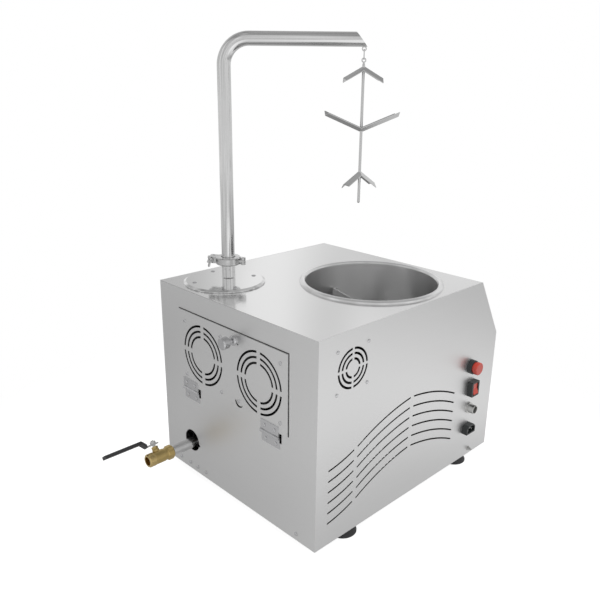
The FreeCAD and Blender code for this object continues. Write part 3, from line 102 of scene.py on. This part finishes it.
def distance_ramp(centre, near, far, start, end):
    """Value that runs smoothly from start to end between two distances from a point of the bench."""
    offset = bench_tree.nodes.new("ShaderNodeVectorMath")
    offset.operation = "DISTANCE"
    offset.inputs[1].default_value = centre
    ramp = bench_tree.nodes.new("ShaderNodeMapRange")
    ramp.interpolation_type = "SMOOTHSTEP"
    ramp.inputs["From Min"].default_value = near
    ramp.inputs["From Max"].default_value = far
    ramp.inputs["To Min"].default_value = start
    ramp.inputs["To Max"].default_value = end
    bench_tree.links.new(bench_place.outputs["Object"], offset.inputs[0])
    bench_tree.links.new(offset.outputs["Value"], ramp.inputs["Value"])
    return ramp.outputs["Result"]


def product(tree, first, second):
    both = tree.nodes.new("ShaderNodeMath")
    both.operation = "MULTIPLY"
    tree.links.new(first, both.inputs[0])
    tree.links.new(second, both.inputs[1])
    return both.outputs[0]


def clouds(tree, source, stretch, scale, low, high):
    """Broad uneven patches between two strengths."""
    shape = tree.nodes.new("ShaderNodeVectorMath")
    shape.operation = "MULTIPLY"
    shape.inputs[1].default_value = stretch
    noise = tree.nodes.new("ShaderNodeTexNoise")
    noise.inputs["Scale"].default_value = scale
    noise.inputs["Detail"].default_value = 1.0
    level = tree.nodes.new("ShaderNodeMapRange")
    level.inputs["From Min"].default_value = 0.38
    level.inputs["From Max"].default_value = 0.62
    level.inputs["To Min"].default_value = low
    level.inputs["To Max"].default_value = high
    tree.links.new(source, shape.inputs[0])
    tree.links.new(shape.outputs[0], noise.inputs["Vector"])
    tree.links.new(noise.outputs["Fac"], level.inputs["Value"])
    return level.outputs["Result"]


def glow(tree, strength):
    shader = tree.nodes.new("ShaderNodeEmission")
    shader.inputs["Strength"].default_value = strength
    return shader


def mixed(tree, factor, first, second):
    shader = tree.nodes.new("ShaderNodeMixShader")
    tree.links.new(factor, shader.inputs[0])
    tree.links.new(first.outputs[0], shader.inputs[1])
    tree.links.new(second.outputs[0], shader.inputs[2])
    return shader


bench_path = bench_tree.nodes.new("ShaderNodeLightPath")
bench_matt = bench_tree.nodes.new("ShaderNodeBsdfDiffuse")
bench_matt.inputs["Color"].default_value = (0.42, 0.42, 0.42, 1)
bench_near = bench_tree.nodes.new("ShaderNodeAddShader")
bench_tree.links.new(bench_matt.outputs[0], bench_near.inputs[0])
bench_tree.links.new(glow(bench_tree, 0.80).outputs[0], bench_near.inputs[1])
bench_pool = glow(bench_tree, 1.0)
pool = distance_ramp(pool_centre, 0.5, 1.9, 1.0, 0.50)
# Close to the housing the pool is dimmed, a painted shadow of the machine on the bench as polished steel
# sees it.
shade_by_housing = distance_ramp(housing_centre, 0.25, 0.65, 0.66, 1.0)
far_rise = distance_ramp(housing_centre, 1.6, 3.6, 1.0, 1.6)
pool = product(bench_tree, pool, shade_by_housing)
pool = product(bench_tree, pool, far_rise)
bench_patches = clouds(bench_tree, bench_place.outputs["Object"], (1, 1, 1), 0.55, 0.75, 1.15)
bench_tree.links.new(product(bench_tree, pool, bench_patches), bench_pool.inputs["Strength"])
bench_edge = distance_ramp((0, 0, 0), 0.45, 0.8, 0.0, 1.0)
bench_seen = mixed(bench_tree, bench_edge, bench_near, glow(bench_tree, 1.0))
bench_seen = mixed(bench_tree, bench_path.outputs["Is Camera Ray"], bench_matt, bench_seen)
bench_seen = mixed(bench_tree, bench_path.outputs["Is Glossy Ray"], bench_seen, bench_pool)
bench_out = bench_tree.nodes.new("ShaderNodeOutputMaterial")
bench_tree.links.new(bench_seen.outputs[0], bench_out.inputs["Surface"])
bench_paint.cycles.emission_sampling = "NONE"
bench.data.materials.append(bench_paint)

room = bpy.data.worlds.new("room")
room.use_nodes = True
bpy.context.scene.world = room
room_tree = room.node_tree
room_tree.nodes.clear()


def room_light(strength):
    """White background light of the given strength."""
    light = room_tree.nodes.new("ShaderNodeBackground")
    light.inputs["Color"].default_value = (1, 1, 1, 1)
    light.inputs["Strength"].default_value = strength
    return light


room_place = room_tree.nodes.new("ShaderNodeTexCoord")
room_split = room_tree.nodes.new("ShaderNodeSeparateXYZ")
room_fade = room_tree.nodes.new("ShaderNodeMapRange")
room_fade.interpolation_type = "SMOOTHSTEP"
room_fade.inputs["From Min"].default_value = 0.35
room_fade.inputs["From Max"].default_value = 0.85
room_fade.inputs["To Min"].default_value = 0.84
room_fade.inputs["To Max"].default_value = 0.45
room_matt = room_light(0.6)
room_mirrored = room_light(1.0)
room_white = room_light(1.0)
room_path = room_tree.nodes.new("ShaderNodeLightPath")
room_clear = room_tree.nodes.new("ShaderNodeMath")
room_clear.operation = "MAXIMUM"
room_out = room_tree.nodes.new("ShaderNodeOutputWorld")
room_tree.links.new(room_place.outputs["Generated"], room_split.inputs[0])
room_tree.links.new(room_split.outputs["Z"], room_fade.inputs["Value"])
room_patches = clouds(room_tree, room_place.outputs["Generated"], (1, 1, 0.25), 4.5, 0.62, 1.14)
room_level = product(room_tree, room_fade.outputs["Result"], room_patches)
room_tree.links.new(room_level, room_mirrored.inputs["Strength"])
room_tree.links.new(room_path.outputs["Is Camera Ray"], room_clear.inputs[0])
room_tree.links.new(room_path.outputs["Is Transmission Ray"], room_clear.inputs[1])
room_seen = mixed(room_tree, room_path.outputs["Is Glossy Ray"], room_matt, room_mirrored)
room_seen = mixed(room_tree, room_clear.outputs[0], room_seen, room_white)
room_tree.links.new(room_seen.outputs[0], room_out.inputs["Surface"])


def soft_lamp(name, place, target, size, power):
    """Square soft box that points at the target."""
    data = bpy.data.lights.new(name, "AREA")
    data.shape = "SQUARE"
    data.size = size
    data.energy = power
    lamp = bpy.data.objects.new(name, data)
    lamp.location = place
    lamp.rotation_euler = (Vector(target) - Vector(place)).to_track_quat("-Z", "Y").to_euler()
    lamp.visible_glossy = False
    bpy.context.scene.collection.objects.link(lamp)


machine_middle = (0, 0, 0.3)
soft_lamp("lamp_over", (-0.3, 0.3, 2.6), machine_middle, 2.2, 26)
soft_lamp("lamp_side", (-2.4, -0.4, 1.5), machine_middle, 1.4, 16)
soft_lamp("lamp_back", (0.5, 2.6, 1.4), machine_middle, 1.4, 9)

# ---------------------------------------------------------------- housing sheets
# The housing is 1.5 mm stainless sheet, folded and cut by laser, with a fine rolled finish. The side
# panels are trays with a lip all round; the top, back, front and base sheets are fixed over the lips.
sheet_light = (0.80, 0.80, 0.80, 1)
sheet_dark = (0.76, 0.76, 0.76, 1)


def grain_group():
    """Stretched noise that varies colour and gloss over a surface and gives a height for its bump."""
    group = bpy.data.node_groups.new("grain", "ShaderNodeTree")
    face = group.interface
    face.new_socket("Stretch", in_out="INPUT", socket_type="NodeSocketVector")
    for name in ("Scale", "Low Gloss", "High Gloss"):
        face.new_socket(name, in_out="INPUT", socket_type="NodeSocketFloat")
    for name in ("Light", "Dark"):
        face.new_socket(name, in_out="INPUT", socket_type="NodeSocketColor")
    face.new_socket("Color", in_out="OUTPUT", socket_type="NodeSocketColor")
    for name in ("Roughness", "Height"):
        face.new_socket(name, in_out="OUTPUT", socket_type="NodeSocketFloat")
    inside = group.nodes.new("NodeGroupInput")
    outside = group.nodes.new("NodeGroupOutput")
    place = group.nodes.new("ShaderNodeTexCoord")
    stretch = group.nodes.new("ShaderNodeVectorMath")
    stretch.operation = "MULTIPLY"
    fine = group.nodes.new("ShaderNodeTexNoise")
    fine.inputs["Detail"].default_value = 3.0
    broad = group.nodes.new("ShaderNodeTexNoise")
    broad.inputs["Scale"].default_value = 6.0
    broad.inputs["Detail"].default_value = 2.0
    blend = group.nodes.new("ShaderNodeMix")
    blend.data_type = "FLOAT"
    blend.inputs["Factor"].default_value = 0.5
    colour = group.nodes.new("ShaderNodeMix")
    colour.data_type = "RGBA"
    gloss = group.nodes.new("ShaderNodeMapRange")
    link = group.links.new
    link(place.outputs["Object"], stretch.inputs[0])
    link(inside.outputs["Stretch"], stretch.inputs[1])
    link(stretch.outputs[0], fine.inputs["Vector"])
    link(inside.outputs["Scale"], fine.inputs["Scale"])
    link(place.outputs["Object"], broad.inputs["Vector"])
    link(fine.outputs["Fac"], blend.inputs["A"])
    link(broad.outputs["Fac"], blend.inputs["B"])
    link(blend.outputs["Result"], colour.inputs["Factor"])
    link(inside.outputs["Dark"], colour.inputs["A"])
    link(inside.outputs["Light"], colour.inputs["B"])
    link(blend.outputs["Result"], gloss.inputs["Value"])
    link(inside.outputs["Low Gloss"], gloss.inputs["To Min"])
    link(inside.outputs["High Gloss"], gloss.inputs["To Max"])
    link(colour.outputs["Result"], outside.inputs["Color"])
    link(gloss.outputs["Result"], outside.inputs["Roughness"])
    link(fine.outputs["Fac"], outside.inputs["Height"])
    return group


grain = grain_group()


def finish(name, light, dark, metal, gloss, scale, stretch=(1, 1, 1), bump=0.05, depth=0.0005, coat=0.0,
           streak=0.0):
    """Material whose colour, roughness and bump come from the grain group."""
    material = bpy.data.materials.new(name)
    material.use_nodes = True
    net = material.node_tree
    shader = net.nodes["Principled BSDF"]
    shader.inputs["Metallic"].default_value = metal
    shader.inputs["Coat Weight"].default_value = coat
    shader.inputs["Anisotropic"].default_value = streak
    pattern = net.nodes.new("ShaderNodeGroup")
    pattern.node_tree = grain
    pattern.inputs["Light"].default_value = light
    pattern.inputs["Dark"].default_value = dark
    pattern.inputs["Scale"].default_value = scale
    pattern.inputs["Stretch"].default_value = stretch
    pattern.inputs["Low Gloss"].default_value = gloss[0]
    pattern.inputs["High Gloss"].default_value = gloss[1]
    relief = net.nodes.new("ShaderNodeBump")
    relief.inputs["Strength"].default_value = bump
    relief.inputs["Distance"].default_value = depth
    net.links.new(pattern.outputs["Color"], shader.inputs["Base Color"])
    net.links.new(pattern.outputs["Roughness"], shader.inputs["Roughness"])
    net.links.new(pattern.outputs["Height"], relief.inputs["Height"])
    net.links.new(relief.outputs["Normal"], shader.inputs["Normal"])
    return material


def paint(material, *names):
    """Give carried-over pieces one finish, whatever they came with."""
    for name in names:
        mesh = nodes[name].data
        mesh.materials.clear()
        mesh.materials.append(material)


sheet_back = finish("sheet_back", sheet_light, sheet_dark, 1.0, (0.38, 0.46), 60, (0.15, 1, 6), 0.02)
sheet_side = finish("sheet_side", sheet_light, sheet_dark, 1.0, (0.36, 0.44), 60, (1, 0.15, 6), 0.02)
sheet_top = finish("sheet_top", sheet_light, (0.77, 0.77, 0.77, 1), 1.0, (0.10, 0.16), 50, (0.2, 3, 1),
                   0.01)
paint(sheet_back, "rear_panel", "front_panel", "base_plate", "fan_door", "latch_strike", "motor_stands")
paint(sheet_side, "side_panel_left", "side_panel_right")
paint(sheet_top, "top_panel")

# ---------------------------------------------------------------- rubber feet
# Four bell-shaped black rubber feet, each with a cupped underside, screwed up through the base sheet.
foot_rubber = finish("foot_rubber", (0.035, 0.035, 0.037, 1), (0.02, 0.02, 0.022, 1), 0.0, (0.45, 0.6),
                     400, bump=0.1)
paint(foot_rubber, "rubber_feet")

# ---------------------------------------------------------------- bowl and stirrer
# Spun stainless bowl with a rolled rim, satin inside from the lathe. The stirrer's blades and hub are
# polished stainless; the parts below the bowl are behind the closed housing.
bowl_steel = finish("bowl_steel", (0.86, 0.86, 0.86, 1), (0.83, 0.83, 0.83, 1), 1.0, (0.26, 0.32), 90,
                    (0.3, 0.3, 14), 0.005, streak=0.9)
bowl_net = bowl_steel.node_tree
bowl_round = bowl_net.nodes.new("ShaderNodeTangent")
bowl_round.direction_type = "RADIAL"
bowl_round.axis = "Z"
bowl_shader = bowl_net.nodes["Principled BSDF"]
bowl_shader.inputs["Anisotropic Rotation"].default_value = 0.25
bowl_net.links.new(bowl_round.outputs[0], bowl_shader.inputs["Tangent"])
blade_steel = finish("blade_steel", (0.80, 0.80, 0.80, 1), (0.72, 0.72, 0.72, 1), 1.0, (0.14, 0.24),
                     120, (1, 1, 4), 0.04)
paint(bowl_steel, "bowl")
paint(blade_steel, "stirrer", "stirrer_shaft")
seal_white = finish("seal_white", (0.82, 0.82, 0.80, 1), (0.74, 0.74, 0.72, 1), 0.0, (0.35, 0.5), 200)
heater_red = finish("heater_red", (0.45, 0.10, 0.06, 1), (0.36, 0.07, 0.04, 1), 0.0, (0.5, 0.65),
                    300, bump=0.2)
motor_grey = finish("motor_grey", (0.10, 0.10, 0.11, 1), (0.06, 0.06, 0.07, 1), 0.3, (0.35, 0.5),
                    250, bump=0.2)
board_green = finish("board_green", (0.03, 0.20, 0.09, 1), (0.02, 0.13, 0.06, 1), 0.0, (0.3, 0.45), 180)
paint(seal_white, "stirrer_bearing", "clamp_gasket")
paint(heater_red, "bowl_heater")
paint(motor_grey, "stirrer_motor", "pump_motor")
paint(board_green, "control_unit")

# ---------------------------------------------------------------- pump, cover and clamp
# The pump's round cover is turned and polished like a mirror. The small sanitary clamp is cast stainless,
# tumbled and polished, and the drive screw, barrel and suction pipe below are plain turned steel.
mirror_steel = finish("mirror_steel", (0.80, 0.80, 0.80, 1), (0.76, 0.76, 0.76, 1), 1.0,
                      (0.06, 0.11), 40, bump=0.01)
clamp_steel = finish("clamp_steel", (0.74, 0.74, 0.74, 1), (0.60, 0.60, 0.60, 1), 1.0, (0.14, 0.26),
                     260, bump=0.10)
turned_steel = finish("turned_steel", (0.74, 0.74, 0.74, 1), (0.64, 0.64, 0.64, 1), 1.0, (0.18, 0.3),
                      120, (1, 1, 5), 0.05)
paint(mirror_steel, "pump_cover")
paint(clamp_steel, "clamp_half_plain", "clamp_half_slotted", "clamp_pins", "swing_bolt", "wing_nut")
paint(turned_steel, "pump_barrel", "pump_screw", "suction_pipe")

# ---------------------------------------------------------------- spout and hanging rod
# Drawn stainless tube, ground lengthwise and polished, with a slanting mouth. The rod and its folded
# leaves hang from the tip on a plain link, all polished by hand.
tube_steel = finish("tube_steel", (0.78, 0.78, 0.78, 1), (0.68, 0.68, 0.68, 1), 1.0, (0.08, 0.16),
                    140, (3, 3, 0.25), 0.04)
leaf_steel = finish("leaf_steel", (0.70, 0.70, 0.70, 1), (0.60, 0.60, 0.60, 1), 1.0, (0.14, 0.24),
                    160, bump=0.04)
paint(tube_steel, "spout_tube")
paint(leaf_steel, "hanger_link", "hanger_rod", "hanger_leaves")

# ---------------------------------------------------------------- drain and ball valve
# The drain is a bare stainless pipe. The ball valve on it is cast and machined brass with a chromed
# ball, a plated steel lever and a black vinyl sleeve dipped over the lever.
brass_cast = finish("brass_cast", (0.62, 0.47, 0.20, 1), (0.50, 0.36, 0.14, 1), 1.0, (0.24, 0.4),
                    500, bump=0.25)
brass_cut = finish("brass_cut", (0.70, 0.54, 0.25, 1), (0.58, 0.43, 0.18, 1), 1.0, (0.18, 0.3), 300,
                   (1, 8, 1), 0.08)
vinyl_black = finish("vinyl_black", (0.03, 0.03, 0.032, 1), (0.018, 0.018, 0.02, 1), 0.0,
                     (0.35, 0.5), 300, bump=0.08)
zinc = finish("zinc", (0.70, 0.70, 0.70, 1), (0.60, 0.60, 0.60, 1), 1.0, (0.2, 0.34), 200, bump=0.06)
paint(turned_steel, "drain_pipe")
paint(brass_cast, "valve_body")
paint(brass_cut, "valve_end")
paint(zinc, "valve_ball", "valve_stem", "valve_lever")
paint(vinyl_black, "lever_grip")

# ---------------------------------------------------------------- fan door, hinges and latch
# The fan door drops down on two plain steel hinges, each held by four round-head screws. A thumbscrew
# in a pressed-in collar holds it shut. A dark strip on the rear sheet is painted shadow for the gap round
# the door.
hinge_steel = finish("hinge_steel", (0.66, 0.66, 0.67, 1), (0.56, 0.56, 0.57, 1), 1.0, (0.16, 0.26),
                     220, bump=0.05)
paint(hinge_steel, "hinge_leaves_body", "hinge_leaves_door", "hinge_pins", "latch_collar", "latch_knob")
paint(hinge_steel, "housing_screws", "door_screws")

door_low, door_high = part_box("fan_door")
panel_low, panel_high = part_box("rear_panel")
gap_width = 0.0011
gap_depth = 0.0004
bend_height = 0.0064
door_foot = door_low[2] + bend_height
gap_mesh = bpy.data.meshes.new("door_shadow_line")
gap_form = bmesh.new()


def shadow_strip(x0, x1, z0, z1):
    """Flat dark strip of painted shadow on the rear panel's face, just outside the door."""
    strip = bmesh.ops.create_cube(gap_form, size=1.0)
    middle = Vector(((x0 + x1) / 2, panel_high[1] + gap_depth / 2, (z0 + z1) / 2))
    bmesh.ops.scale(gap_form, vec=(x1 - x0, gap_depth, z1 - z0), verts=strip["verts"])
    bmesh.ops.translate(gap_form, vec=middle, verts=strip["verts"])


hinge_low, hinge_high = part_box("hinge_leaves_door")
hinge_width = 0.044
left_clear, right_clear = 0.002, 0.005
between_low = hinge_low[0] + hinge_width + left_clear
between_high = hinge_high[0] - hinge_width - right_clear
shadow_strip(between_low, between_high, door_foot - gap_width, door_foot)
shadow_strip(door_low[0] - gap_width, door_high[0], door_high[2], door_high[2] + gap_width)
shadow_strip(door_high[0], door_high[0] + gap_width, door_foot, door_high[2] + gap_width)
shadow_strip(door_low[0] - gap_width, door_low[0], door_foot, door_high[2])
gap_form.to_mesh(gap_mesh)
gap_form.free()
# The strips are painted shadow: a near-black line that stands for the shade in the gap round the door.
door_shadow_line = new_object("door_shadow_line", gap_mesh)
gap_shadow = finish("gap_shadow", (0.03, 0.03, 0.03, 1), (0.02, 0.02, 0.02, 1), 0.0, (0.7, 0.8), 300)
gap_mesh.materials.append(gap_shadow)
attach(door_shadow_line, "machine")

# ---------------------------------------------------------------- fans
# Standard axial fans in black moulded plastic behind the grilles, two on the door and one on the side.
fan_black = finish("fan_black", (0.022, 0.022, 0.024, 1), (0.012, 0.012, 0.013, 1), 0.0, (0.4, 0.55),
                   300, bump=0.08)
paint(fan_black, "door_fan_frames", "side_fan_frame", "fan_rotor_left", "fan_rotor_right", "side_fan_rotor")

# ---------------------------------------------------------------- switches and sockets
# A red push button, a red rocker in a black surround, a round plated probe socket, a black mains inlet
# and an earth screw stand in one column near the front of the side panel.
moulding_black = finish("moulding_black", (0.03, 0.035, 0.035, 1), (0.02, 0.022, 0.024, 1), 0.0,
                        (0.3, 0.42), 350, bump=0.06)
red_gloss = finish("red_gloss", (0.62, 0.06, 0.035, 1), (0.52, 0.045, 0.028, 1), 0.0, (0.22, 0.34),
                   250, bump=0.03, coat=0.3)
nickel = finish("nickel", (0.66, 0.66, 0.65, 1), (0.56, 0.56, 0.55, 1), 1.0, (0.16, 0.28), 300, bump=0.05)
paint(moulding_black, "button_bezel", "rocker_housing", "power_inlet", "controller")
paint(red_gloss, "button_cap", "rocker")
paint(nickel, "probe_socket", "inlet_pins", "earth_terminal")
